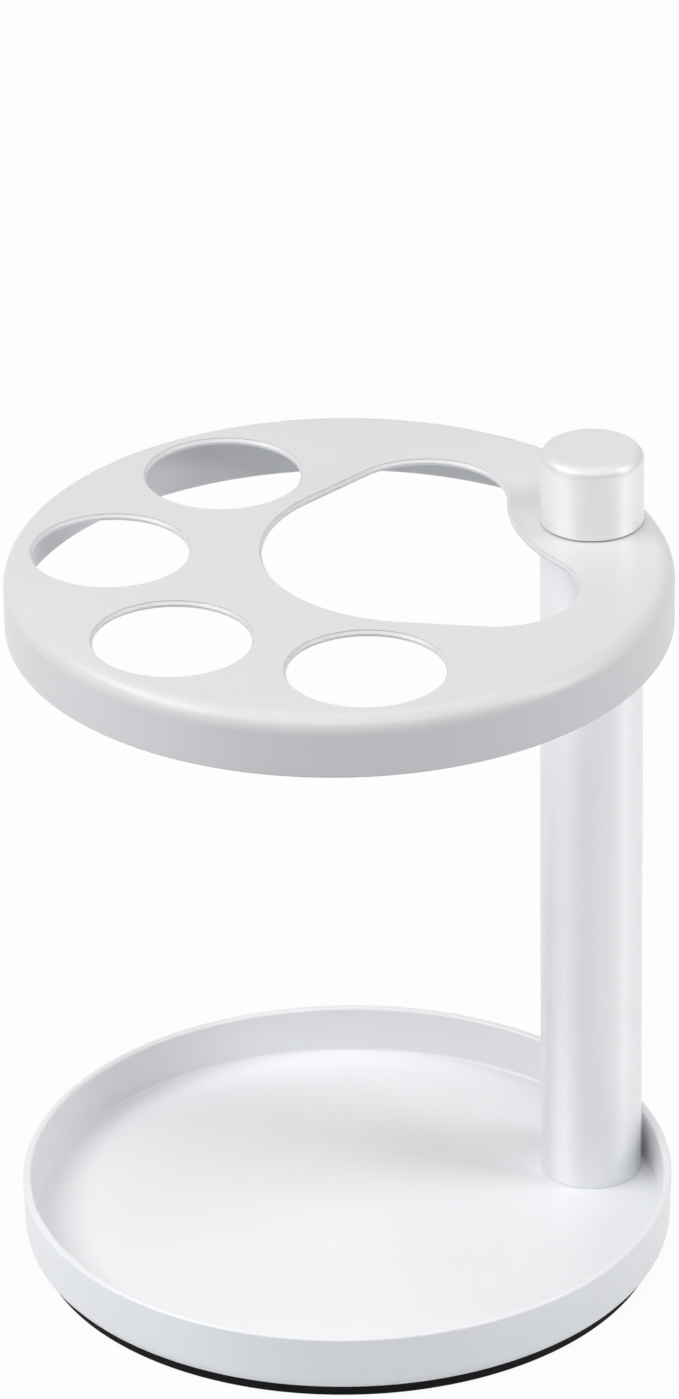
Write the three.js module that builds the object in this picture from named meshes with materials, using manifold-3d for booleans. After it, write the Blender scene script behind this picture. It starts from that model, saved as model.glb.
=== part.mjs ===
// Toothbrush holder: a round tray on a non-slip pad, an off-centre post, and a round top plate that is
// clamped on the post by a screw-down cap.
// Millimetres, +Z up. The origin is at the centre of the foot pad's underside, and the post stands on +Y.
import * as THREE from 'three';
import { mergeVertices } from 'three/addons/utils/BufferGeometryUtils.js';
import Module from 'manifold-3d';

const wasm = await Module();
wasm.setup();

// Whole object
const overallHeight = 141;
const discRadius = 55;
const edgeRound = 0.45;

// Foot pad
const padThickness = 2;
const padOverhang = 0.3;
const padEdge = 0.3;
const padHoleWeb = 1;

// Tray
const trayHeight = 10.3;
const trayFloorThickness = 2;
const trayWall = 1.4;
const trayDraft = 0.3;
const trayInnerBend = 0.55;
const trayOuterBend = 2.3;

// Top plate
const plateSheet = 1.1;
const skirtHeight = 10.6;
const plateInnerBend = 1.9;
const brushHoleMargin = 4.3;
const brushHoleWeb = 7.3;
const brushHoleCount = 4;
const brushHolePitch = THREE.MathUtils.degToRad(52);
const openingHoleWeb = 4;
const openingFrontWeb = 9.1;
const openingLobeOutset = 0.8;
const openingLobeGrowth = 0.7;
const openingBridgeRadius = 36;
const bridgeWidth = 4.05;
const pressedEdge = 0.4;

// Post tube and its two plugs
const postRadius = 8.6;
const tubeWall = 1.2;
const tubeBevel = 0.75;
const postBendGap = 0.1;
const plugGap = 0.15;
const upperPlugLength = 16;
const lowerPlugLength = 14;
const plugEdge = 0.5;

// Cap, its threaded stud and its washer
const capHeight = 12.9;
const capSeam = 0.2;
const capTopRound = 1.9;
const capFootRound = 0.3;
const washerThickness = 0.9;
const washerEdge = 0.9;
const washerGap = 0.2;
const studRadius = 3;
const studGap = 0.15;
const studInCap = 7;
const studInPlug = 10;
const studTip = 0.5;
const platePassGap = 0.3;

// Base screw
const screwRadius = 2.5;
const screwHeadRadius = 5.5;
const screwHeadHeight = 1.3;
const screwEdge = 0.3;
const screwInPlug = 9;
const socketAcrossFlats = 3;
const socketSides = 6;
const socketDepth = 0.9;
const headClearance = 1.5;

// Locating pins
const pinRadius = 1.1;
const pinInPlug = 5;
const pinOffset = 4.9;
const pinRecess = 0.1;
const pinGap = 0.1;
const pinEdge = 0.2;

// Every cutter runs past the face that it cuts by this
const overrun = 1;

// Facets of the round forms
const discSegments = 72;
const postSegments = 48;
const holeSegments = 40;
const openingSegments = 16;
const plugSegments = 32;
const boltSegments = 24;
const pinSegments = 16;
const roundSteps = 4;
const smallRoundSteps = 2;
const smallRound = 0.5;

// Levels above the surface that the holder stands on
const trayUnder = padThickness;
const trayFloor = trayUnder + trayFloorThickness;
const trayRim = trayUnder + trayHeight;
const plateTop = overallHeight - capHeight - capSeam;
const plateUnder = plateTop - plateSheet;
const skirtFoot = plateTop - skirtHeight;
const capFoot = plateTop + capSeam;
const washerTop = plateTop + washerThickness;

// Plan positions. The post stands as far out as the bends of the plate and the tray let its ends, and as
// the pad's hole under its screw can go
const topBend = plateSheet + plateInnerBend - tubeBevel;
const footBend = trayDraft + trayWall + trayInnerBend;
const postReach = discRadius - Math.max(topBend, footBend) - postBendGap;
const padRadius = discRadius - trayDraft - trayOuterBend + padOverhang;
const padHoleRadius = screwHeadRadius + headClearance;
const postPlace = Math.min(postReach - postRadius, padRadius - padHoleWeb - padHoleRadius);
const pinPlace = postPlace - pinOffset;
const plugRadius = postRadius - tubeWall - plugGap;

// Brush holes: as wide as the margin at the rim and the web between two neighbours leave them
const halfPitchSine = Math.sin(brushHolePitch / 2);
const brushRoom = (discRadius - brushHoleMargin) * halfPitchSine - brushHoleWeb / 2;
const brushHoleRadius = brushRoom / (1 + halfPitchSine);
const brushCircle = discRadius - brushHoleMargin - brushHoleRadius;

// Toothpaste opening: its far arc leaves a web to the two inner and the two outer brush holes, its lobes
// stand about as wide as the inner ones and are a little larger, and its near side stays clear of the post
const outerHoleAngle = ((brushHoleCount - 1) / 2) * brushHolePitch - Math.PI / 2;
const outerHoleX = brushCircle * Math.cos(outerHoleAngle);
const outerHoleY = brushCircle * Math.sin(outerHoleAngle);
const outerHoleReach = brushHoleRadius + openingHoleWeb;
const openingFarEdge = brushHoleRadius + openingFrontWeb - brushCircle * Math.cos(brushHolePitch / 2);
const outerHoleDepth = outerHoleY - openingFarEdge;
const outerHoleRoom = outerHoleX ** 2 + outerHoleDepth ** 2 - outerHoleReach ** 2;
const openingFarRadius = outerHoleRoom / 2 / (outerHoleReach + outerHoleDepth);
const openingLobeSpan = brushCircle * halfPitchSine + openingLobeOutset;
const openingLobeRadius = brushHoleRadius + openingLobeGrowth;
const bridgeEdge = postPlace - postRadius - bridgeWidth;

// Closed solid of a geometry: its shared vertices are merged, and triangles without area are dropped.
function toSolid(geometry) {
  const bare = geometry.clone();
  bare.deleteAttribute('normal');
  bare.deleteAttribute('uv');
  const merged = mergeVertices(bare);
  const index = merged.index.array;
  const triangles = [];
  for (let i = 0; i < index.length; i += 3) {
    const [a, b, c] = [index[i], index[i + 1], index[i + 2]];
    if (a !== b && b !== c && c !== a) triangles.push(a, b, c);
  }
  return new wasm.Manifold(new wasm.Mesh({
    numProp: 3,
    vertProperties: new Float32Array(merged.attributes.position.array),
    triVerts: new Uint32Array(triangles),
  }));
}

function toGeometry(solid) {
  const mesh = solid.getMesh();
  const geometry = new THREE.BufferGeometry();
  geometry.setAttribute('position', new THREE.BufferAttribute(new Float32Array(mesh.vertProperties), 3));
  geometry.setIndex(new THREE.BufferAttribute(new Uint32Array(mesh.triVerts), 1));
  geometry.computeVertexNormals();
  return geometry;
}

// Points of an outline whose corners are [x, y, radius], each rounded to its radius.
function roundedCorners(corners) {
  const points = [];
  corners.forEach(([x, y, radius], i) => {
    const corner = new THREE.Vector2(x, y);
    if (!radius) {
      points.push(corner);
      return;
    }
    const [lastX, lastY] = corners.at(i - 1);
    const [nextX, nextY] = corners[(i + 1) % corners.length];
    const back = new THREE.Vector2(lastX, lastY).sub(corner).normalize();
    const on = new THREE.Vector2(nextX, nextY).sub(corner).normalize();
    const half = Math.acos(back.dot(on)) / 2;
    const centre = back.clone().add(on).setLength(radius / Math.sin(half)).add(corner);
    const start = back.clone().setLength(radius / Math.tan(half)).add(corner).sub(centre);
    const end = on.clone().setLength(radius / Math.tan(half)).add(corner).sub(centre);
    const sweep = Math.atan2(start.cross(end), start.dot(end));
    const steps = radius > smallRound ? roundSteps : smallRoundSteps;
    for (let step = 0; step <= steps; step += 1) {
      const turned = start.clone().rotateAround(new THREE.Vector2(), (sweep * step) / steps);
      points.push(turned.add(centre));
    }
  });
  return points;
}

// Solid of revolution about Z, from the corners of its section in [radius, height, rounding]. The section
// runs anticlockwise, either from the axis back to the axis or, for a ring, round to where it starts.
function revolved(corners, segments) {
  const section = roundedCorners(corners);
  const onAxis = section[0].x === 0;
  if (!onAxis) section.push(section[0].clone());
  return toSolid(new THREE.LatheGeometry(section, segments).rotateX(Math.PI / 2));
}

// Points of an arc about x, y, with both its ends.
function arc(x, y, radius, from, to, segments) {
  const points = [];
  for (let step = 0; step <= segments; step += 1) {
    const angle = from + ((to - from) * step) / segments;
    points.push(new THREE.Vector2(x + radius * Math.cos(angle), y + radius * Math.sin(angle)));
  }
  return points;
}

// Solid between levels of [offset, height]. outline(offset) gives the points of its section there.
function stacked(outline, levels) {
  const positions = [];
  const index = [];
  levels.forEach(([offset, height]) => {
    outline(offset).forEach(({ x, y }) => positions.push(x, y, height));
  });
  const foot = outline(levels[0][0]);
  const count = foot.length;
  for (let start = 0; start < count * (levels.length - 1); start += count) {
    for (let i = 0; i < count; i += 1) {
      const a = start + i;
      const b = start + ((i + 1) % count);
      index.push(a, b, b + count, a, b + count, a + count);
    }
  }
  const top = count * (levels.length - 1);
  THREE.ShapeUtils.triangulateShape(foot, []).forEach(([a, b, c]) => {
    index.push(a, c, b, top + a, top + b, top + c);
  });
  const geometry = new THREE.BufferGeometry();
  geometry.setAttribute('position', new THREE.Float32BufferAttribute(positions, 3));
  geometry.setIndex(index);
  return toSolid(geometry);
}

// Round cutter that stands on the axis at x, y.
function roundCutter(radius, from, to, x, y, segments) {
  const corners = [
    [0, from, 0],
    [radius, from, 0],
    [radius, to, 0],
    [0, to, 0],
  ];
  return revolved(corners, segments).translate([x, y, 0]);
}

// Cutter through the top plate, opened out at the top where the press rolls the sheet's edge in.
function pressedCutter(outline) {
  const levels = [[0, plateUnder - overrun]];
  for (let step = 0; step <= smallRoundSteps; step += 1) {
    const turn = (Math.PI / 2) * (step / smallRoundSteps);
    const height = plateTop - pressedEdge * (1 - Math.sin(turn));
    levels.push([pressedEdge * (1 - Math.cos(turn)), height]);
  }
  levels.push([pressedEdge, plateTop + overrun]);
  return stacked(outline, levels);
}

function brushHoleCutter(x, y) {
  return pressedCutter((offset) => {
    const reach = brushHoleRadius + offset;
    return arc(x, y, reach, 0, 2 * Math.PI, holeSegments).slice(1);
  });
}

// Outline of the opening for a tube of toothpaste: a large arc on the far side, a lobe on each side, and
// an arc that leaves a narrow bridge in front of the post. Straight flanks join the far arc to the lobes.
function toothpasteOpening(offset) {
  const farCentre = openingFarEdge + openingFarRadius;
  const bridgeCentre = bridgeEdge + openingBridgeRadius;
  const reach = openingBridgeRadius + openingLobeRadius;
  const lobeCentre = bridgeCentre - Math.sqrt(reach ** 2 - openingLobeSpan ** 2);
  const rise = lobeCentre - farCentre;
  const apart = Math.hypot(openingLobeSpan, rise);
  const spread = Math.acos((openingFarRadius - openingLobeRadius) / apart);
  const flank = Math.atan2(rise, openingLobeSpan) - spread;
  const shoulder = Math.atan2(bridgeCentre - lobeCentre, -openingLobeSpan);
  const lobe = openingLobeRadius + offset;
  const bridge = openingBridgeRadius - offset;
  const far = arc(0, farCentre, openingFarRadius + offset, -Math.PI - flank, flank, openingSegments);
  const right = arc(openingLobeSpan, lobeCentre, lobe, flank, shoulder, openingSegments);
  const near = arc(0, bridgeCentre, bridge, shoulder - Math.PI, -shoulder, openingSegments);
  const left = right.map(({ x, y }) => new THREE.Vector2(-x, y)).reverse();
  return [...far, ...right, ...near.slice(1), ...left.slice(1)];
}

// Steel dish on which the brushes stand, with the holes for the base screw and the locating pin.
function trayGeometry() {
  const footRadius = discRadius - trayDraft;
  const corners = [
    [0, trayUnder, 0],
    [footRadius, trayUnder, trayOuterBend],
    [discRadius, trayRim, edgeRound],
    [discRadius - trayWall, trayRim, edgeRound],
    [footRadius - trayWall, trayFloor, trayInnerBend],
    [0, trayFloor, 0],
  ];
  const from = trayUnder - overrun;
  const to = trayFloor + overrun;
  const screwHole = roundCutter(screwRadius + platePassGap, from, to, 0, postPlace, boltSegments);
  const pinHole = roundCutter(pinRadius + pinGap, from, to, 0, pinPlace, pinSegments);
  return toGeometry(revolved(corners, discSegments).subtract(screwHole).subtract(pinHole));
}

// Foam pad under the tray, with a hole that leaves the head of the base screw free.
function padGeometry() {
  const corners = [
    [0, 0, 0],
    [padRadius, 0, padEdge],
    [padRadius, padThickness, 0],
    [0, padThickness, 0],
  ];
  const to = padThickness + overrun;
  const hole = roundCutter(padHoleRadius, -overrun, to, 0, postPlace, plugSegments);
  return toGeometry(revolved(corners, discSegments).subtract(hole));
}

// Pressed plate with its turned-down rim, the brush holes opposite the post and the toothpaste opening.
function plateGeometry() {
  const corners = [
    [0, plateUnder, 0],
    [discRadius - plateSheet, plateUnder, plateInnerBend],
    [discRadius - plateSheet, skirtFoot, edgeRound],
    [discRadius, skirtFoot, edgeRound],
    [discRadius, plateTop, plateInnerBend + plateSheet],
    [0, plateTop, 0],
  ];
  let plate = revolved(corners, discSegments);
  for (let hole = 0; hole < brushHoleCount; hole += 1) {
    const angle = outerHoleAngle - hole * brushHolePitch;
    const x = brushCircle * Math.cos(angle);
    const y = brushCircle * Math.sin(angle);
    plate = plate.subtract(brushHoleCutter(x, y));
  }
  plate = plate.subtract(pressedCutter(toothpasteOpening));
  const from = plateUnder - overrun;
  const to = plateTop + overrun;
  plate = plate.subtract(roundCutter(studRadius + platePassGap, from, to, 0, postPlace, boltSegments));
  plate = plate.subtract(roundCutter(pinRadius + pinGap, from, to, 0, pinPlace, pinSegments));
  return toGeometry(plate);
}

// Tube between the tray's floor and the plate, bevelled at the top to clear the plate's inner bend.
function tubeGeometry() {
  const bore = postRadius - tubeWall;
  const corners = [
    [bore, trayFloor, 0],
    [postRadius, trayFloor, 0],
    [postRadius, plateUnder - tubeBevel, 0],
    [postRadius - tubeBevel, plateUnder, 0],
    [bore, plateUnder, 0],
  ];
  return toGeometry(revolved(corners, postSegments));
}

// Threaded plug of the tube, from one height to another, with the hole for its locating pin.
function plugGeometry(from, to, boreRadius, pinFrom, pinTo) {
  const corners = [
    [boreRadius, from, plugEdge],
    [plugRadius, from, plugEdge],
    [plugRadius, to, plugEdge],
    [boreRadius, to, plugEdge],
  ];
  const pinHole = roundCutter(pinRadius + pinGap, pinFrom, pinTo, 0, -pinOffset, pinSegments);
  return toGeometry(revolved(corners, plugSegments).subtract(pinHole));
}

// Pin between two heights, on the post's axis until it is placed.
function pinGeometry(from, to) {
  const corners = [
    [0, from, 0],
    [pinRadius, from, pinEdge],
    [pinRadius, to, pinEdge],
    [0, to, 0],
  ];
  return toGeometry(revolved(corners, pinSegments));
}

// Cap with a blind hole for its stud and a recess for the washer in its foot.
function capGeometry() {
  const recess = postRadius - washerEdge;
  const studHole = studRadius + studGap;
  const holeTop = washerTop + studInCap;
  const corners = [
    [0, holeTop, 0],
    [studHole, holeTop, 0],
    [studHole, washerTop, 0],
    [recess, washerTop, 0],
    [recess, capFoot, 0],
    [postRadius, capFoot, capFootRound],
    [postRadius, overallHeight, capTopRound],
    [0, overallHeight, 0],
  ];
  return toGeometry(revolved(corners, postSegments));
}

// Threaded stud, from the end of the cap's hole down into the upper plug.
function studGeometry() {
  const corners = [
    [0, plateUnder - studInPlug, 0],
    [studRadius, plateUnder - studInPlug, studTip],
    [studRadius, washerTop + studInCap, 0],
    [0, washerTop + studInCap, 0],
  ];
  return toGeometry(revolved(corners, boltSegments));
}

// Washer that stays in the cap's recess and takes the cap's pressure on the plate.
function washerGeometry() {
  const bore = studRadius + washerGap;
  const rim = postRadius - washerEdge - washerGap;
  const corners = [
    [bore, plateTop, 0],
    [rim, plateTop, 0],
    [rim, washerTop, 0],
    [bore, washerTop, 0],
  ];
  return toGeometry(revolved(corners, postSegments));
}

// Low-headed screw that holds the tray to the lower plug, with a hexagon socket in its head.
function screwGeometry() {
  const headFoot = trayUnder - screwHeadHeight;
  const tip = trayFloor + screwInPlug;
  const corners = [
    [0, headFoot, 0],
    [screwHeadRadius, headFoot, screwEdge],
    [screwHeadRadius, trayUnder, 0],
    [screwRadius, trayUnder, 0],
    [screwRadius, tip, screwEdge],
    [0, tip, 0],
  ];
  const socketRadius = socketAcrossFlats / 2 / Math.cos(Math.PI / socketSides);
  const socketTop = headFoot + socketDepth;
  const socket = roundCutter(socketRadius, headFoot - overrun, socketTop, 0, 0, socketSides);
  return toGeometry(revolved(corners, boltSegments).subtract(socket));
}

const powderCoat = { color: 0xe6e7e9, roughness: 0.42, metalness: 0 };
const foam = { color: 0x242426, roughness: 0.9, metalness: 0 };
const steel = { color: 0xb4b6b8, roughness: 0.35, metalness: 1 };
const nylon = { color: 0xe9e6dc, roughness: 0.5, metalness: 0 };

const holder = new THREE.Group();
const post = new THREE.Group();
post.position.set(0, postPlace, 0);
holder.add(post);

function addPiece(parent, name, geometry, finish) {
  const mesh = new THREE.Mesh(geometry, new THREE.MeshStandardMaterial(finish));
  mesh.name = name;
  parent.add(mesh);
  return mesh;
}

addPiece(holder, 'base_pad', padGeometry(), foam);
addPiece(holder, 'base_tray', trayGeometry(), powderCoat);
addPiece(holder, 'top_plate', plateGeometry(), powderCoat);

const upperPlugFoot = plateUnder - upperPlugLength;
const lowerPlugTop = trayFloor + lowerPlugLength;
const upperPinFoot = plateUnder - pinInPlug;
const lowerPinTop = trayFloor + pinInPlug;
const studBore = studRadius + studGap;
const screwBore = screwRadius + studGap;
addPiece(post, 'post_tube', tubeGeometry(), powderCoat);
addPiece(
  post,
  'upper_plug',
  plugGeometry(upperPlugFoot, plateUnder, studBore, upperPinFoot, plateUnder + overrun),
  steel,
);
addPiece(
  post,
  'lower_plug',
  plugGeometry(trayFloor, lowerPlugTop, screwBore, trayFloor - overrun, lowerPinTop),
  steel,
);
const upperPin = addPiece(post, 'plate_pin', pinGeometry(upperPinFoot, plateTop - pinRecess), steel);
const lowerPin = addPiece(post, 'tray_pin', pinGeometry(trayUnder + pinRecess, lowerPinTop), steel);
upperPin.position.set(0, -pinOffset, 0);
lowerPin.position.set(0, -pinOffset, 0);
addPiece(post, 'base_screw', screwGeometry(), steel);
addPiece(post, 'post_cap', capGeometry(), powderCoat);
addPiece(post, 'cap_stud', studGeometry(), steel);
addPiece(post, 'cap_washer', washerGeometry(), nylon);

export default holder;
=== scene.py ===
import math

import bmesh
import bpy
from mathutils import Matrix, Vector
from mathutils.geometry import delaunay_2d_cdt


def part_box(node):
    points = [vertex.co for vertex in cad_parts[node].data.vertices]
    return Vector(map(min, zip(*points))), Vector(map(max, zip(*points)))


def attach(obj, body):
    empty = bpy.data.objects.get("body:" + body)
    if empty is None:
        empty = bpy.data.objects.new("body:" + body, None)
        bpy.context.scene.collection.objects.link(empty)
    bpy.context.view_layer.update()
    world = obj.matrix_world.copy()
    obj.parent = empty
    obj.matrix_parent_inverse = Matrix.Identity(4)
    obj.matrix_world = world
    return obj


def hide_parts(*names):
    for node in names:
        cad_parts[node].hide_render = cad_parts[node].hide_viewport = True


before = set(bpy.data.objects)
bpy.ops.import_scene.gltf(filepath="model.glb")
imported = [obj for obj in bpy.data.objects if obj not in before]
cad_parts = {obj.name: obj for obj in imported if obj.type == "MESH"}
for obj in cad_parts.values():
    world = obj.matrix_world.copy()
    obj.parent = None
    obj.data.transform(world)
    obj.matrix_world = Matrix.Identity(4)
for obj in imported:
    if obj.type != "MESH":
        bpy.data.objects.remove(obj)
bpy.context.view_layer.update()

# Sheet metal
PLATE_SHEET = 0.0011
TRAY_WALL = 0.0014
TRAY_FLOOR = 0.002
RIM_ROUND = 0.00045
TRAY_DRAFT = 0.0003
TRAY_INNER_BEND = 0.00055
TRAY_OUTER_BEND = 0.0023
PLATE_INNER_BEND = 0.0019
PRESSED_EDGE = 0.0004
BURR_EDGE = 0.0001
COINED_DROP_SHARE = 0.5
COINED_DEPTH_SHARE = 1.5

# Cut-outs of the plate
BRUSH_MARGIN = 0.0043
BRUSH_WEB = 0.0073
BRUSH_COUNT = 4
BRUSH_PITCH = math.radians(52)
OPENING_HOLE_WEB = 0.004
OPENING_FRONT_WEB = 0.0091
LOBE_OUTSET = 0.0008
LOBE_GROWTH = 0.0007
BRIDGE_RADIUS = 0.036
BRIDGE_WIDTH = 0.00405

# Post, cap and fasteners
TUBE_WALL = 0.0012
TUBE_EDGE = 0.00015
TUBE_BEVEL = 0.00075
PASS_GAP = 0.0003
PIN_RADIUS = 0.0011
PIN_OFFSET = 0.0049
PIN_GAP = 0.0001
STUD_RADIUS = 0.003
STUD_PITCH = 0.001
STUD_GAP = 0.00015
STUD_TIP = 0.0006
SCREW_RADIUS = 0.0025
SCREW_TIP = 0.0004
SCREW_HEAD_ROUND = 0.0003
SOCKET_SIDES = 6
SOCKET_ACROSS_FLATS = 0.003
SOCKET_RADIUS = SOCKET_ACROSS_FLATS / 2 / math.cos(math.pi / SOCKET_SIDES)
SOCKET_DEPTH = 0.0009
HEAD_CLEARANCE = 0.0015
THREAD_DEPTH_SHARE = 0.61
THREAD_FLANK_SHARES = (0, 0, 0.25, 0.6, 0.9, 1, 1, 0.9, 0.6, 0.25)
THREAD_SPARE_TURNS = 3
CAP_TOP_ROUND = 0.0019
CAP_FOOT_ROUND = 0.00015
CAP_RECESS_ROUND = 0.00005
CAP_SATIN_SLOPE = 0.05
WASHER_EDGE = 0.0009
WASHER_ROUND = 0.00012
WASHER_BORE_GAP = 0.00012
PAD_EDGE = 0.0003
PAD_TOP_EDGE = 0.00015

# Powder coat: satin on the pressed parts, and a pearl sheen on the turned ones. It is one white coat, but
# the plate's white is set darker, as painted shade on the plate and the cap's top, and the tray's white
# lighter, as painted light on its floor under the plate
PLATE_WHITE_PAINTED_SHADE = (0.67, 0.675, 0.685)
TRAY_WHITE_PAINTED_LIGHT = (0.86, 0.87, 0.885)
POST_WHITE = (0.87, 0.877, 0.89)
CAP_WHITE = (0.85, 0.855, 0.865)
SATIN_ROUGHNESS = 0.31
PEARL_ROUGHNESS = 0.38
ROUGHNESS_SPREAD = 0.03
TONE_SHARE = 0.975
TONE_SCALE = 35.0
GLOSS_SCALE = 220.0
PEEL_SCALE = 900.0
PEEL_HEIGHT = 0.00001
PEEL_STRENGTH = 0.2
COAT_IOR = 1.5
PEARL_SHARE = 0.43
PEARL_STRETCH_SHARE = 0.8
PEARL_TURN_SHARE = 0.25
CAP_TOP_PEARL_SHARE = 0.13
CAP_BLEND_SLOPES = (0.05, 0.4)

# Foam, zinc-plated steel and nylon
FOAM_TONES = ((0.006, 0.006, 0.0065), (0.011, 0.011, 0.012))
FOAM_TONE_SCALE = 400.0
FOAM_CELL_SCALE = 2600.0
FOAM_CELL_HEIGHT = 0.00012
FOAM_CELL_STRENGTH = 0.5
FOAM_DENT_SCALE = 900.0
FOAM_DENT_HEIGHT = 0.00005
FOAM_DENT_STRENGTH = 0.3
FOAM_ROUGHNESS = 0.92
FOAM_GLOSS_SHARE = 0.2
STEEL_TONES = ((0.58, 0.6, 0.63), (0.7, 0.71, 0.72))
STEEL_TONE_SCALE = 300.0
STEEL_ROUGHNESSES = (0.24, 0.38)
STEEL_ROUGHNESS_SCALE = 1200.0
STEEL_MARK_SCALE = 1500.0
STEEL_MARK_DISTORTION = 0.4
STEEL_MARK_HEIGHT = 0.000004
STEEL_MARK_STRENGTH = 0.2
NYLON_TONES = ((0.74, 0.72, 0.66), (0.8, 0.78, 0.72))
NYLON_TONE_SCALE = 300.0
NYLON_GRAIN_SCALE = 2500.0
NYLON_GRAIN_HEIGHT = 0.000005
NYLON_GRAIN_STRENGTH = 0.3
NYLON_ROUGHNESS = 0.45
NYLON_SCATTER_SHARE = 0.15
NYLON_SCATTER_DEPTH = 0.001

# Fineness of the meshes
DISC_STEPS = 256
POST_STEPS = 128
HOLE_STEPS = 96
SMALL_STEPS = 48
ARC_STEPS = 8
HOLD = 0.00005
ON_AXIS = 1e-9
MERGE_DISTANCE = 1e-7
LEVEL_TOLERANCE = 1e-8
THIN_AREA = 1e-14
SHARP_ANGLE = math.radians(40)
THREAD_SHARP_ANGLE = math.radians(55)

# Flat faces are triangulated in millimetres. The last value is Blender's number for keeping holes open
MILLIMETRES = 1000
FILL_TOLERANCE = 1e-6
INSIDE_WITH_HOLES = 2


def rounded(corners, closed):
    """Points of a section whose corners are (x, y, radius), with a point held just past each round."""
    points = []
    count = len(corners)
    for i, (x, y, radius) in enumerate(corners):
        corner = Vector((x, y))
        at_end = not closed and i in (0, count - 1)
        if not radius or at_end:
            points.append(corner)
            continue
        back = (Vector(corners[i - 1][:2]) - corner).normalized()
        on = (Vector(corners[(i + 1) % count][:2]) - corner).normalized()
        half = back.angle(on) / 2
        reach = radius / math.tan(half)
        centre = corner + (back + on).normalized() * radius / math.sin(half)
        start = corner + back * reach - centre
        sweep = start.angle_signed(corner + on * reach - centre)
        points.append(corner + back * (reach + HOLD))
        for step in range(ARC_STEPS + 1):
            turn = Matrix.Rotation(-sweep * step / ARC_STEPS, 2)
            points.append(centre + turn @ start)
        points.append(corner + on * (reach + HOLD))
    return points


def ring_of(bm, points, z):
    """A ring of vertices at one height, from points in plan."""
    return [bm.verts.new((p[0], p[1], z)) for p in points]


def join_rings(bm, lower, upper):
    """Faces between two rings of the same length, facing out when upper lies above lower."""
    count = len(lower)
    for i in range(count):
        k = (i + 1) % count
        bm.faces.new((lower[i], lower[k], upper[k], upper[i]))


def circle(radius, steps, centre=(0, 0)):
    """Points of a circle in plan, anticlockwise seen from above."""
    turns = [2 * math.pi * i / steps for i in range(steps)]
    return [(centre[0] + radius * math.cos(t), centre[1] + radius * math.sin(t)) for t in turns]


def revolve_rings(bm, section, steps, centre=(0, 0)):
    """Rings round the axis at centre, one for each point of the section, joined to each other."""
    rings = []
    for radius, z in section:
        if radius < ON_AXIS:
            rings.append([bm.verts.new((centre[0], centre[1], z))])
        else:
            rings.append(ring_of(bm, circle(radius, steps, centre), z))
    for lower, upper in zip(rings, rings[1:]):
        if len(lower) == len(upper):
            join_rings(bm, lower, upper)
            continue
        point, ring = (lower[0], upper) if len(lower) == 1 else (upper[0], lower)
        for i in range(steps):
            k = (i + 1) % steps
            pair = (ring[k], ring[i]) if len(lower) == 1 else (ring[i], ring[k])
            bm.faces.new((point, *pair))
    return rings


def finish_mesh(bm, name, sharp=SHARP_ANGLE):
    """A smooth-shaded object of a closed bmesh, facing out, with hard edges where its faces meet sharply."""
    mesh = bpy.data.meshes.new(name)
    bmesh.ops.recalc_face_normals(bm, faces=bm.faces[:])
    if bm.calc_volume(signed=True) < 0:
        bmesh.ops.reverse_faces(bm, faces=bm.faces[:])
    bm.to_mesh(mesh)
    bm.free()
    mesh.shade_smooth()
    mesh.set_sharp_from_angle(angle=sharp)
    made = bpy.data.objects.new(name, mesh)
    bpy.context.scene.collection.objects.link(made)
    return made


def revolved(name, corners, steps, centre=(0, 0)):
    """A turned piece, from the corners of its section, from the axis back to it or round as a ring."""
    bm = bmesh.new()
    on_axis = corners[0][0] == 0
    section = rounded(corners, closed=not on_axis)
    rings = revolve_rings(bm, section, steps, centre)
    if not on_axis:
        join_rings(bm, rings[-1], rings[0])
    return finish_mesh(bm, name)


def cut_wall(bm, outline, edge, top, under):
    """The wall of a cut-out between two faces. Its upper edge is coined: a short drop, then a slope that is
    edge wide. outline(offset) gives its points, grown by offset. Returns the loops that meet the upper and
    the lower face."""
    drop = top - edge * COINED_DROP_SHARE
    slope_end = top - edge * COINED_DEPTH_SHARE
    levels = [
        (edge + HOLD, top),
        (edge, top),
        (edge, drop),
        (0, slope_end),
        (0, under + BURR_EDGE),
        (BURR_EDGE, under),
        (BURR_EDGE + HOLD, under),
    ]
    rings = [ring_of(bm, outline(offset), z) for offset, z in levels]
    for upper, lower in zip(rings, rings[1:]):
        join_rings(bm, upper, lower)
    return rings[0], rings[-1]


def fill_face(bm, loops):
    """A flat face between an outer loop and the loops of its cut-outs."""
    verts, rims = [], []
    for loop in loops:
        rims.append(range(len(verts), len(verts) + len(loop)))
        verts += loop
    plan = [vert.co.xy * MILLIMETRES for vert in verts]
    found = delaunay_2d_cdt(plan, [], rims, INSIDE_WITH_HOLES, FILL_TOLERANCE)
    faces, sources = found[2], found[3]
    for face in faces:
        bm.faces.new([verts[sources[corner][0]] for corner in face])


def pressed_sheet(name, rim, cuts, steps=DISC_STEPS):
    """A disc of sheet with a turned rim. rim runs from the lower flat face round to the upper one, and
    cuts are the outlines of the cut-outs through both faces, each with the width of its upper edge."""
    bm = bmesh.new()
    rings = revolve_rings(bm, rounded(rim, closed=False), steps)
    under, top = rim[0][1], rim[-1][1]
    walls = [cut_wall(bm, outline, edge, top, under) for outline, edge in cuts]
    fill_face(bm, [rings[-1]] + [wall[0] for wall in walls])
    fill_face(bm, [rings[0]] + [wall[1] for wall in walls])
    return finish_mesh(bm, name)


def round_hole(radius, centre, steps=HOLE_STEPS):
    """Outline of a round hole, grown by an offset."""
    return lambda offset: circle(radius + offset, steps, centre)


def arc(centre, radius, start, end, steps):
    """Points of an arc in plan, both ends included."""
    points = []
    for step in range(steps + 1):
        turn = start + (end - start) * step / steps
        points.append((centre[0] + radius * math.cos(turn), centre[1] + radius * math.sin(turn)))
    return points


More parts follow.
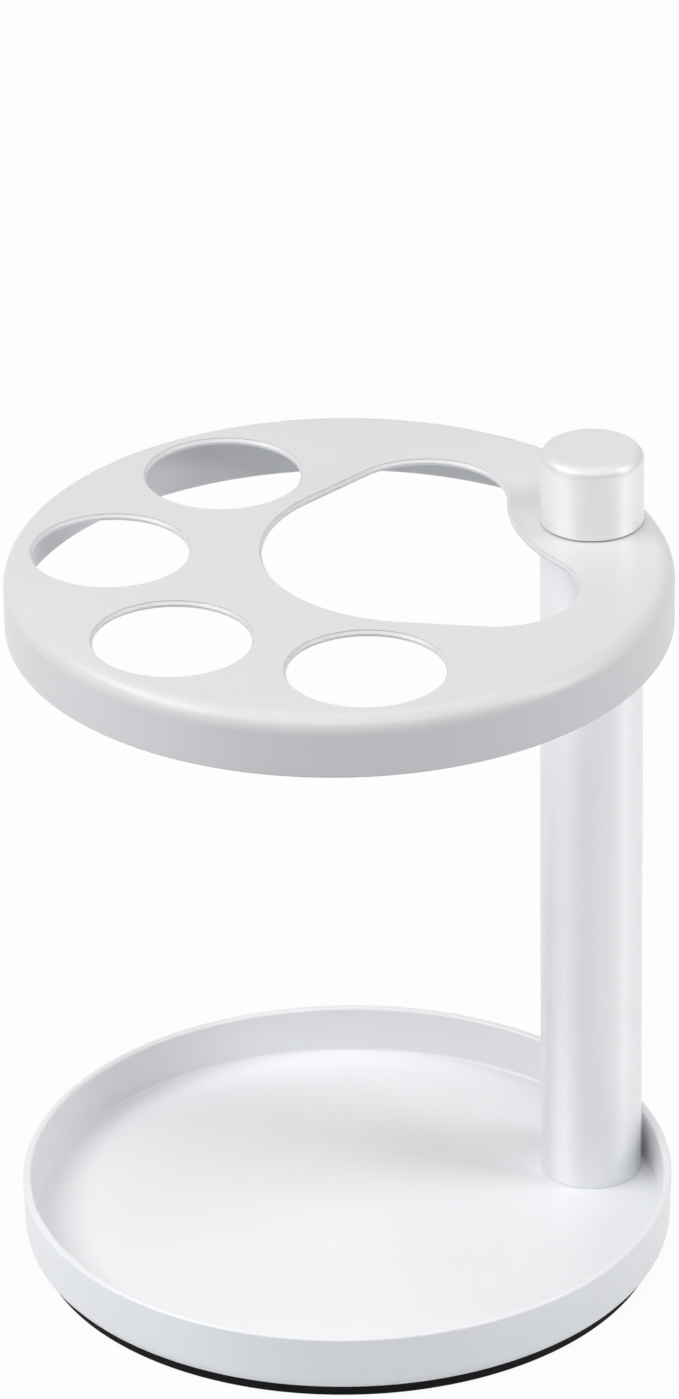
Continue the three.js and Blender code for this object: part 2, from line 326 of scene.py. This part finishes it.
# Places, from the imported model
pad_low, pad_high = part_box("base_pad")
tray_low, tray_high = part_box("base_tray")
plate_low, plate_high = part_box("top_plate")
tube_low, tube_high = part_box("post_tube")
cap_low, cap_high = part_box("post_cap")
stud_low, stud_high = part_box("cap_stud")
screw_low, screw_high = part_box("base_screw")
washer_low, washer_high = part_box("cap_washer")

DISC_RADIUS = plate_high.x
POST_RADIUS = tube_high.x
POST_PLACE = (tube_low.y + tube_high.y) / 2
POST = (0, POST_PLACE)
PIN = (0, POST_PLACE - PIN_OFFSET)


def brush_holes():
    """Outlines of the brush holes, side by side opposite the post."""
    half_sine = math.sin(BRUSH_PITCH / 2)
    radius = ((DISC_RADIUS - BRUSH_MARGIN) * half_sine - BRUSH_WEB / 2) / (1 + half_sine)
    ring = DISC_RADIUS - BRUSH_MARGIN - radius
    cuts = []
    for hole in range(BRUSH_COUNT):
        angle = (hole - (BRUSH_COUNT - 1) / 2) * BRUSH_PITCH - math.pi / 2
        centre = (ring * math.cos(angle), ring * math.sin(angle))
        cuts.append((round_hole(radius, centre), PRESSED_EDGE))
    return cuts, radius, ring


def toothpaste_opening(brush_radius, brush_ring):
    """Outline of the large opening: a far arc, a lobe on each side and an arc in front of the post."""
    outer_angle = (BRUSH_COUNT - 1) / 2 * BRUSH_PITCH - math.pi / 2
    outer_x = brush_ring * math.cos(outer_angle)
    outer_y = brush_ring * math.sin(outer_angle)
    reach = brush_radius + OPENING_HOLE_WEB
    far_edge = brush_radius + OPENING_FRONT_WEB - brush_ring * math.cos(BRUSH_PITCH / 2)
    depth = outer_y - far_edge
    far_radius = (outer_x ** 2 + depth ** 2 - reach ** 2) / 2 / (reach + depth)
    far_centre = far_edge + far_radius
    span = brush_ring * math.sin(BRUSH_PITCH / 2) + LOBE_OUTSET
    lobe_radius = brush_radius + LOBE_GROWTH
    bridge_edge = POST_PLACE - POST_RADIUS - BRIDGE_WIDTH
    bridge_centre = bridge_edge + BRIDGE_RADIUS
    lobe_centre = bridge_centre - math.sqrt((BRIDGE_RADIUS + lobe_radius) ** 2 - span ** 2)
    rise = lobe_centre - far_centre
    spread = math.acos((far_radius - lobe_radius) / math.hypot(span, rise))
    flank = math.atan2(rise, span) - spread
    shoulder = math.atan2(bridge_centre - lobe_centre, -span)

    def outline(offset):
        far = arc((0, far_centre), far_radius + offset, -math.pi - flank, flank, HOLE_STEPS)
        right = arc((span, lobe_centre), lobe_radius + offset, flank, shoulder, HOLE_STEPS // 2)
        near = arc(
            (0, bridge_centre), BRIDGE_RADIUS - offset, shoulder - math.pi, -shoulder, HOLE_STEPS // 2
        )
        left = [(-x, y) for x, y in reversed(right)]
        return far + right + near[1:] + left[1:]

    return outline


def build_plate():
    """Pressed top plate with its turned-down rim."""
    top, foot = plate_high.z, plate_low.z
    under = top - PLATE_SHEET
    inside = DISC_RADIUS - PLATE_SHEET
    flat = inside - PLATE_INNER_BEND - 2 * HOLD
    rim = [
        (flat, under, 0),
        (inside, under, PLATE_INNER_BEND),
        (inside, foot, RIM_ROUND),
        (DISC_RADIUS, foot, RIM_ROUND),
        (DISC_RADIUS, top, PLATE_INNER_BEND + PLATE_SHEET),
        (flat, top, 0),
    ]
    cuts, radius, ring = brush_holes()
    cuts.append((toothpaste_opening(radius, ring), PRESSED_EDGE))
    cuts.append((round_hole(STUD_RADIUS + PASS_GAP, POST, SMALL_STEPS), BURR_EDGE))
    cuts.append((round_hole(PIN_RADIUS + PIN_GAP, PIN, SMALL_STEPS), BURR_EDGE))
    return pressed_sheet("top_plate_pressed", rim, cuts)


def build_tray():
    """Pressed tray, open at the top."""
    under, top = tray_low.z, tray_high.z
    floor = under + TRAY_FLOOR
    foot = DISC_RADIUS - TRAY_DRAFT
    flat = foot - TRAY_OUTER_BEND - 2 * HOLD
    rim = [
        (flat, under, 0),
        (foot, under, TRAY_OUTER_BEND),
        (DISC_RADIUS, top, RIM_ROUND),
        (DISC_RADIUS - TRAY_WALL, top, RIM_ROUND),
        (foot - TRAY_WALL, floor, TRAY_INNER_BEND),
        (flat, floor, 0),
    ]
    cuts = [
        (round_hole(SCREW_RADIUS + PASS_GAP, POST, SMALL_STEPS), BURR_EDGE),
        (round_hole(PIN_RADIUS + PIN_GAP, PIN, SMALL_STEPS), BURR_EDGE),
    ]
    return pressed_sheet("base_tray_pressed", rim, cuts)


def build_pad():
    """Foam pad with its punched hole under the base screw."""
    radius = pad_high.x
    rim = [
        (radius - PAD_EDGE - 2 * HOLD, pad_low.z, 0),
        (radius, pad_low.z, PAD_EDGE),
        (radius, pad_high.z, PAD_TOP_EDGE),
        (radius - PAD_EDGE - 2 * HOLD, pad_high.z, 0),
    ]
    head_radius = screw_high.x
    hole = round_hole(head_radius + HEAD_CLEARANCE, POST)
    return pressed_sheet("base_pad_foam", rim, [(hole, BURR_EDGE)])


def build_tube():
    """Post tube with lightly broken edges."""
    bore = POST_RADIUS - TUBE_WALL
    corners = [
        (bore, tube_low.z, TUBE_EDGE),
        (POST_RADIUS, tube_low.z, TUBE_EDGE),
        (POST_RADIUS, tube_high.z, TUBE_BEVEL),
        (bore, tube_high.z, TUBE_EDGE),
    ]
    return revolved("post_tube_coated", corners, POST_STEPS, POST)


def build_cap():
    """Turned cap with a rounded top, a recess for the washer and the stud's blind hole."""
    recess = POST_RADIUS - WASHER_EDGE
    hole = STUD_RADIUS + STUD_GAP
    corners = [
        (0, stud_high.z, 0),
        (hole, stud_high.z, 0),
        (hole, washer_high.z, 0),
        (recess, washer_high.z, 0),
        (recess, cap_low.z, CAP_RECESS_ROUND),
        (POST_RADIUS, cap_low.z, CAP_FOOT_ROUND),
        (POST_RADIUS, cap_high.z, CAP_TOP_ROUND),
        (0, cap_high.z, 0),
    ]
    return revolved("post_cap_coated", corners, POST_STEPS, POST)


def build_washer():
    """Nylon washer in the cap's recess."""
    outer = washer_high.x
    bore = STUD_RADIUS + WASHER_BORE_GAP
    corners = [
        (bore, washer_low.z, WASHER_ROUND),
        (outer, washer_low.z, WASHER_ROUND),
        (outer, washer_high.z, WASHER_ROUND),
        (bore, washer_high.z, WASHER_ROUND),
    ]
    return revolved("cap_washer_nylon", corners, POST_STEPS, POST)


def thread_surface(bm, radius, pitch, low, high, tip_at, tip, centre):
    """The surface of a screw thread between two heights. Each column of vertices climbs with the thread, so
    the crest stays sharp, and the ends are cut flat. tip_at is the end that is bevelled by tip."""
    per_pitch = len(THREAD_FLANK_SHARES)
    depth = pitch * THREAD_DEPTH_SHARE
    rows = int((high - low) / pitch + THREAD_SPARE_TURNS) * per_pitch
    columns = []
    for j in range(SMALL_STEPS):
        turn = 2 * math.pi * j / SMALL_STEPS
        column = []
        for row in range(rows + 1):
            z = low - pitch + pitch * (row / per_pitch + j / SMALL_STEPS)
            z = min(max(z, low), high)
            reach = radius - depth * THREAD_FLANK_SHARES[row % per_pitch]
            reach = min(reach, radius - tip + abs(z - tip_at))
            place = (centre[0] + reach * math.cos(turn), centre[1] + reach * math.sin(turn), z)
            column.append(bm.verts.new(place))
        columns.append(column)
    for j in range(SMALL_STEPS):
        last = j == SMALL_STEPS - 1
        column, following = columns[j], columns[(j + 1) % SMALL_STEPS]
        shift = per_pitch if last else 0
        for row in range(rows - shift):
            quad = (
                column[row], following[row + shift], following[row + 1 + shift], column[row + 1]
            )
            bm.faces.new(quad)


def close_ends(bm, low, high):
    """Merges the vertices that were drawn onto the end planes, and closes both ends with flat faces."""
    bmesh.ops.remove_doubles(bm, verts=bm.verts[:], dist=MERGE_DISTANCE)
    thin = [face for face in bm.faces if face.calc_area() < THIN_AREA]
    bmesh.ops.delete(bm, geom=thin, context="FACES")
    for level in (low, high):
        flat = [
            face for face in bm.faces
            if all(abs(vert.co.z - level) < LEVEL_TOLERANCE for vert in face.verts)
        ]
        bmesh.ops.delete(bm, geom=flat, context="FACES")
    loose = [vert for vert in bm.verts if not vert.link_faces]
    bmesh.ops.delete(bm, geom=loose, context="VERTS")
    wires = [edge for edge in bm.edges if not edge.link_faces]
    bmesh.ops.delete(bm, geom=wires, context="EDGES")
    rims = [edge for edge in bm.edges if edge.is_boundary]
    bmesh.ops.holes_fill(bm, edges=rims, sides=0)
    bmesh.ops.triangulate(bm, faces=[face for face in bm.faces if len(face.verts) > 4])


def build_stud():
    """Threaded stud of the cap."""
    bm = bmesh.new()
    thread_surface(
        bm, STUD_RADIUS, STUD_PITCH, stud_low.z, stud_high.z, stud_low.z, STUD_TIP, POST
    )
    close_ends(bm, stud_low.z, stud_high.z)
    return finish_mesh(bm, "cap_stud_threaded", THREAD_SHARP_ANGLE)


def build_screw():
    """Low-headed base screw with a hexagon socket."""
    bm = bmesh.new()
    head_radius = screw_high.x
    seat = tray_low.z
    section = rounded(
        [
            (head_radius - SCREW_HEAD_ROUND - 2 * HOLD, screw_low.z, 0),
            (head_radius, screw_low.z, SCREW_HEAD_ROUND),
            (head_radius, seat, 0),
            (SCREW_RADIUS, seat, 0),
            (SCREW_RADIUS, screw_high.z, SCREW_TIP),
            (0, screw_high.z, 0),
        ],
        closed=False,
    )
    rings = revolve_rings(bm, section, SMALL_STEPS, POST)
    hexagon = circle(SOCKET_RADIUS, SOCKET_SIDES, POST)
    mouth = ring_of(bm, hexagon, screw_low.z)
    floor = ring_of(bm, hexagon, screw_low.z + SOCKET_DEPTH)
    join_rings(bm, floor, mouth)
    bm.faces.new(floor)
    fill_face(bm, [rings[0], mouth])
    return finish_mesh(bm, "base_screw_head")


class Nodes:
    """A material's node tree, built by short calls."""

    def __init__(self, name):
        self.material = bpy.data.materials.new(name)
        self.material.use_nodes = True
        self.tree = self.material.node_tree
        self.shader = self.tree.nodes["Principled BSDF"]

    def add(self, kind, **values):
        node = self.tree.nodes.new(kind)
        for key, value in values.items():
            setattr(node, key, value)
        return node

    def link(self, source, target):
        self.tree.links.new(source, target)

    def set(self, **values):
        for key, value in values.items():
            self.shader.inputs[key.replace("_", " ")].default_value = value

    def place(self):
        """Coordinates in metres that move with the piece."""
        return self.add("ShaderNodeTexCoord").outputs["Object"]

    def noise(self, scale, detail=2.0):
        node = self.add("ShaderNodeTexNoise")
        node.inputs["Scale"].default_value = scale
        node.inputs["Detail"].default_value = detail
        self.link(self.place(), node.inputs["Vector"])
        return node.outputs["Fac"]

    def between(self, source, low, high, start=0.25, end=0.75):
        """The part of source from start to end, spread over low to high. A noise fills 0.25 to 0.75."""
        node = self.add("ShaderNodeMapRange")
        node.inputs["From Min"].default_value = start
        node.inputs["From Max"].default_value = end
        node.inputs["To Min"].default_value = low
        node.inputs["To Max"].default_value = high
        self.link(source, node.inputs["Value"])
        return node.outputs["Result"]

    def colours(self, source, dark, light):
        """The base colour, from dark where source is 0 to light where it is 1."""
        node = self.add("ShaderNodeMix", data_type="RGBA")
        node.inputs["A"].default_value = (*dark, 1)
        node.inputs["B"].default_value = (*light, 1)
        self.link(source, node.inputs["Factor"])
        self.link(node.outputs["Result"], self.shader.inputs["Base Color"])

    def bump(self, heights):
        """Bumps from (height source, distance in metres, strength), one on another."""
        last = None
        for source, distance, strength in heights:
            node = self.add("ShaderNodeBump")
            node.inputs["Distance"].default_value = distance
            node.inputs["Strength"].default_value = strength
            self.link(source, node.inputs["Height"])
            if last:
                self.link(last, node.inputs["Normal"])
            last = node.outputs["Normal"]
        self.link(last, self.shader.inputs["Normal"])


def powder_coat(name, colour, roughness):
    """White satin powder coat: a fine orange peel, with slight changes of tone and gloss."""
    n = Nodes(name)
    darker = [share * TONE_SHARE for share in colour]
    n.colours(n.between(n.noise(TONE_SCALE, detail=3.0), 0.0, 1.0), darker, colour)
    gloss = n.between(n.noise(GLOSS_SCALE), roughness - ROUGHNESS_SPREAD, roughness + ROUGHNESS_SPREAD)
    n.link(gloss, n.shader.inputs["Roughness"])
    n.bump([(n.noise(PEEL_SCALE, detail=1.0), PEEL_HEIGHT, PEEL_STRENGTH)])
    n.set(IOR=COAT_IOR)
    return n


def pearl_coat(name, colour):
    """The same white on the turned parts, with a pearl sheen that runs along their length."""
    n = powder_coat(name, colour, PEARL_ROUGHNESS)
    n.set(
        Metallic=PEARL_SHARE,
        Anisotropic=PEARL_STRETCH_SHARE,
        Anisotropic_Rotation=PEARL_TURN_SHARE,
    )
    return n.material


def cap_top_coat(name, top_painted_shade_colour, side_colour):
    """Satin on the cap's top, which turns into the side's pearl down its round edge. Its colour is painted
    darker where the surface faces up than down the side, as painted shade on the top.
    """
    n = powder_coat(name, top_painted_shade_colour, PEARL_ROUGHNESS)
    facing = n.add("ShaderNodeSeparateXYZ")
    n.link(n.add("ShaderNodeTexCoord").outputs["Normal"], facing.inputs["Vector"])
    upward = facing.outputs["Z"]
    pearl = n.between(upward, PEARL_SHARE, CAP_TOP_PEARL_SHARE, *CAP_BLEND_SLOPES)
    n.link(pearl, n.shader.inputs["Metallic"])
    # Painted shade: the colour turns from the side's white to the darker top white as the surface faces up
    painted_shade_blend = n.add("ShaderNodeMix", data_type="RGBA")
    painted_shade_blend.inputs["A"].default_value = (*side_colour, 1)
    n.link(n.between(upward, 0.0, 1.0, *CAP_BLEND_SLOPES), painted_shade_blend.inputs["Factor"])
    n.link(n.shader.inputs["Base Color"].links[0].from_socket, painted_shade_blend.inputs["B"])
    n.link(painted_shade_blend.outputs["Result"], n.shader.inputs["Base Color"])
    return n.material


def foam():
    """Black closed-cell foam: small cells and a dusty tone."""
    n = Nodes("foam")
    n.colours(n.between(n.noise(FOAM_TONE_SCALE, detail=4.0), 0.0, 1.0), *FOAM_TONES)
    cells = n.add("ShaderNodeTexVoronoi")
    cells.inputs["Scale"].default_value = FOAM_CELL_SCALE
    n.link(n.place(), cells.inputs["Vector"])
    n.bump([
        (cells.outputs["Distance"], FOAM_CELL_HEIGHT, FOAM_CELL_STRENGTH),
        (n.noise(FOAM_DENT_SCALE), FOAM_DENT_HEIGHT, FOAM_DENT_STRENGTH),
    ])
    n.set(Roughness=FOAM_ROUGHNESS, Specular_IOR_Level=FOAM_GLOSS_SHARE)
    return n.material


def zinc_steel():
    """Zinc-plated steel: bright, with a faint bluish bloom and turning marks across the axis."""
    n = Nodes("zinc_steel")
    n.colours(n.between(n.noise(STEEL_TONE_SCALE, detail=3.0), 0.0, 1.0), *STEEL_TONES)
    roughness = n.between(n.noise(STEEL_ROUGHNESS_SCALE, detail=3.0), *STEEL_ROUGHNESSES)
    n.link(roughness, n.shader.inputs["Roughness"])
    marks = n.add("ShaderNodeTexWave", wave_type="BANDS", bands_direction="Z")
    marks.inputs["Scale"].default_value = STEEL_MARK_SCALE
    marks.inputs["Distortion"].default_value = STEEL_MARK_DISTORTION
    n.link(n.place(), marks.inputs["Vector"])
    n.bump([(marks.outputs["Fac"], STEEL_MARK_HEIGHT, STEEL_MARK_STRENGTH)])
    n.set(Metallic=1.0)
    return n.material


def nylon():
    """Natural nylon: slightly see-through off-white."""
    n = Nodes("nylon")
    n.colours(n.between(n.noise(NYLON_TONE_SCALE), 0.0, 1.0), *NYLON_TONES)
    n.bump([(n.noise(NYLON_GRAIN_SCALE), NYLON_GRAIN_HEIGHT, NYLON_GRAIN_STRENGTH)])
    n.set(
        Roughness=NYLON_ROUGHNESS,
        Subsurface_Weight=NYLON_SCATTER_SHARE,
        Subsurface_Scale=NYLON_SCATTER_DEPTH,
    )
    return n.material


# The plate and the tray share one coat with two whites: painted shade on the plate, painted light on the
# tray
PLATE_COAT = powder_coat("powder_coat_plate_painted_shade", PLATE_WHITE_PAINTED_SHADE, SATIN_ROUGHNESS).material
TRAY_COAT = powder_coat("powder_coat_tray_painted_light", TRAY_WHITE_PAINTED_LIGHT, SATIN_ROUGHNESS).material
POST_COAT = pearl_coat("powder_coat_post", POST_WHITE)
CAP_COAT = pearl_coat("powder_coat_cap", CAP_WHITE)
# The cap's top coat paints shade: its top is coloured darker than its side
CAP_TOP_COAT_PAINTED_SHADE = cap_top_coat("powder_coat_cap_top_painted_shade", PLATE_WHITE_PAINTED_SHADE, CAP_WHITE)
FOAM, STEEL, NYLON = foam(), zinc_steel(), nylon()


def place(piece, node, body, material, slot):
    """Puts a built piece in the place of its CAD node."""
    piece.data.materials.append(material)
    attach(piece, body)
    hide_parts(node)


def coat_cap_top(cap):
    """Gives the cap's top and its round edge their own coat, whose colour is painted darker on the top as
    painted shade.
    """
    cap.data.materials.append(CAP_TOP_COAT_PAINTED_SHADE)
    for face in cap.data.polygons:
        face.material_index = int(face.normal.z > CAP_SATIN_SLOPE)


def dress(node, material):
    """Gives a CAD node that stays its material."""
    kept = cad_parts[node]
    kept.data.materials.clear()
    kept.data.materials.append(material)


pad = build_pad()
cap = build_cap()
place(build_plate(), "top_plate", "holder", PLATE_COAT, "powder_coat")
place(build_tray(), "base_tray", "holder", TRAY_COAT, "powder_coat")
place(build_tube(), "post_tube", "holder", POST_COAT, "powder_coat")
place(pad, "base_pad", "holder", FOAM, "foam")
place(build_screw(), "base_screw", "holder", STEEL, "steel")
place(cap, "post_cap", "cap", CAP_COAT, "powder_coat")
coat_cap_top(cap)
place(build_stud(), "cap_stud", "cap", STEEL, "steel")
place(build_washer(), "cap_washer", "washer", NYLON, "nylon")
for fastener in ("upper_plug", "lower_plug", "plate_pin", "tray_pin"):
    dress(fastener, STEEL)


# Camera: the photograph's viewpoint. It looks at a point above the tray's rim, close to the object's axis.
# The focal length was fitted in pixels of the photograph, whose height fills the sensor
VIEW_AZIMUTH = math.radians(71.7)
VIEW_ELEVATION = math.radians(28.108)
VIEW_ROLL = math.radians(-0.792)
VIEW_DISTANCE = 1.4823
VIEW_SIDE = -0.00021
VIEW_TARGET_HEIGHT = 0.0899
PHOTO_HEIGHT_PIXELS = 1399
VIEW_FOCAL_PIXELS = 8984.4
SENSOR = 0.036
VIEW_FOCAL = SENSOR * VIEW_FOCAL_PIXELS / PHOTO_HEIGHT_PIXELS
VIEW_NEAR = 0.05
VIEW_FAR = 20

# Studio: each softbox has its azimuth and elevation in degrees, width and height in metres, and watts
LAMP_DISTANCE = 1.2
LAMP_AIM_HEIGHT = 0.07
SOFTBOXES = {
    "left_high_box": (-80, 50, 0.8, 0.6, 7.1),
    "left_box": (-75, 25, 0.7, 1.1, 2.0),
    "left_front_box": (-50, 25, 0.7, 1.1, 1.9),
    "camera_box": (0, 58, 1.1, 0.25, 3.4),
    "right_box": (75, 25, 0.35, 0.8, 4.1),
    "right_side_box": (95, 25, 0.35, 0.8, 1.6),
    "right_high_box": (80, 50, 0.4, 0.6, 1.7),
    "top_box": (180, 80, 1.0, 1.0, 2.9),
}
SURROUND_TINT = (0.95, 0.97, 1.0)
SURROUND_STRENGTH = 0.03
WHITE = (1, 1, 1)
FLOOR_TONES = ((0.68, 0.7, 0.73), (0.7, 0.72, 0.75))
FLOOR_TONE_SCALE = 2.0
FLOOR_ROUGHNESS = 0.9
FLOOR_GLOW_SHARE = 0.95
FLOOR_RADIUS = 6.0
FLOOR_GAP = 0.0001


def from_view(x, y, z):
    """A point or direction given as seen by the viewer, x to the right and y away, in the part's frame."""
    turn = Matrix.Rotation(VIEW_AZIMUTH, 3, "Z")
    return turn @ Vector((x, y, z))


def build_camera():
    """A long lens at the photograph's angle."""
    forward = from_view(0, math.cos(VIEW_ELEVATION), -math.sin(VIEW_ELEVATION))
    level = from_view(1, 0, 0)
    upright = level.cross(forward)
    right = math.cos(VIEW_ROLL) * level + math.sin(VIEW_ROLL) * upright
    up = right.cross(forward)
    target = from_view(VIEW_SIDE, 0, tray_high.z + VIEW_TARGET_HEIGHT)
    lens = bpy.data.cameras.new("photo_camera")
    lens.sensor_width = SENSOR * MILLIMETRES
    lens.lens = VIEW_FOCAL * MILLIMETRES
    lens.clip_start = VIEW_NEAR
    lens.clip_end = VIEW_FAR
    camera = bpy.data.objects.new("photo_camera", lens)
    bpy.context.scene.collection.objects.link(camera)
    turned = Matrix((right, up, -forward)).transposed().to_4x4()
    camera.matrix_world = Matrix.Translation(target - forward * VIEW_DISTANCE) @ turned
    bpy.context.scene.camera = camera


def softbox(name, azimuth, elevation, width, height, power):
    """A rectangular lamp turned to the object. azimuth is from the camera's side, to the viewer's right."""
    lamp = bpy.data.lights.new(name, "AREA")
    lamp.shape = "RECTANGLE"
    lamp.size = width
    lamp.size_y = height
    lamp.energy = power
    lit = bpy.data.objects.new(name, lamp)
    bpy.context.scene.collection.objects.link(lit)
    flat = math.cos(math.radians(elevation))
    away = from_view(
        flat * math.sin(math.radians(azimuth)),
        -flat * math.cos(math.radians(azimuth)),
        math.sin(math.radians(elevation)),
    )
    lit.location = Vector((0, 0, LAMP_AIM_HEIGHT)) + away * LAMP_DISTANCE
    lit.rotation_mode = "QUATERNION"
    lit.rotation_quaternion = away.to_track_quat("Z", "Y")


def build_lights():
    """Soft studio light from both sides, from above and over the camera, with nothing low straight ahead."""
    for name, lamp in SOFTBOXES.items():
        softbox(name, *lamp)


def seen_share(tree, share):
    """share for rays that show a surface to the camera, straight or in a reflection, and else 0."""
    path = tree.nodes.new("ShaderNodeLightPath")
    value = None
    for ray in ("Is Camera Ray", "Is Glossy Ray", "Is Transmission Ray"):
        if value is None:
            value = path.outputs[ray]
            continue
        larger = tree.nodes.new("ShaderNodeMath")
        larger.operation = "MAXIMUM"
        tree.links.new(value, larger.inputs[0])
        tree.links.new(path.outputs[ray], larger.inputs[1])
        value = larger.outputs["Value"]
    scaled = tree.nodes.new("ShaderNodeMath")
    scaled.operation = "MULTIPLY"
    scaled.inputs[1].default_value = share
    tree.links.new(value, scaled.inputs[0])
    return scaled.outputs["Value"]


def build_surround():
    """White to the camera and in reflections, and faintly lit otherwise."""
    world = bpy.data.worlds.new("studio")
    world.use_nodes = True
    bpy.context.scene.world = world
    tree = world.node_tree
    surround = tree.nodes["Background"]
    surround.inputs["Color"].default_value = (*SURROUND_TINT, 1)
    surround.inputs["Strength"].default_value = SURROUND_STRENGTH
    white = tree.nodes.new("ShaderNodeBackground")
    white.inputs["Color"].default_value = (*WHITE, 1)
    white.inputs["Strength"].default_value = 1.0
    mix = tree.nodes.new("ShaderNodeMixShader")
    tree.links.new(seen_share(tree, 1.0), mix.inputs["Fac"])
    tree.links.new(surround.outputs["Background"], mix.inputs[1])
    tree.links.new(white.outputs["Background"], mix.inputs[2])
    tree.links.new(mix.outputs["Shader"], tree.nodes["World Output"].inputs["Surface"])


def build_floor():
    """Pale floor that looks white to the camera and keeps a soft shadow."""
    bm = bmesh.new()
    bm.faces.new(ring_of(bm, circle(FLOOR_RADIUS, SMALL_STEPS), -FLOOR_GAP))
    mesh = bpy.data.meshes.new("floor")
    bm.to_mesh(mesh)
    bm.free()
    floor = bpy.data.objects.new("floor", mesh)
    bpy.context.scene.collection.objects.link(floor)
    n = Nodes("floor_white")
    n.colours(n.between(n.noise(FLOOR_TONE_SCALE), 0.0, 1.0), *FLOOR_TONES)
    n.set(Roughness=FLOOR_ROUGHNESS)
    glow = n.add("ShaderNodeEmission")
    glow.inputs["Color"].default_value = (*WHITE, 1)
    glow.inputs["Strength"].default_value = 1.0
    mix = n.add("ShaderNodeMixShader")
    n.link(seen_share(n.tree, FLOOR_GLOW_SHARE), mix.inputs["Fac"])
    n.link(n.shader.outputs["BSDF"], mix.inputs[1])
    n.link(glow.outputs["Emission"], mix.inputs[2])
    n.link(mix.outputs["Shader"], n.tree.nodes["Material Output"].inputs["Surface"])
    mesh.materials.append(n.material)


build_camera()
build_lights()
build_surround()
build_floor()
bpy.context.scene.view_settings.view_transform = "Standard"
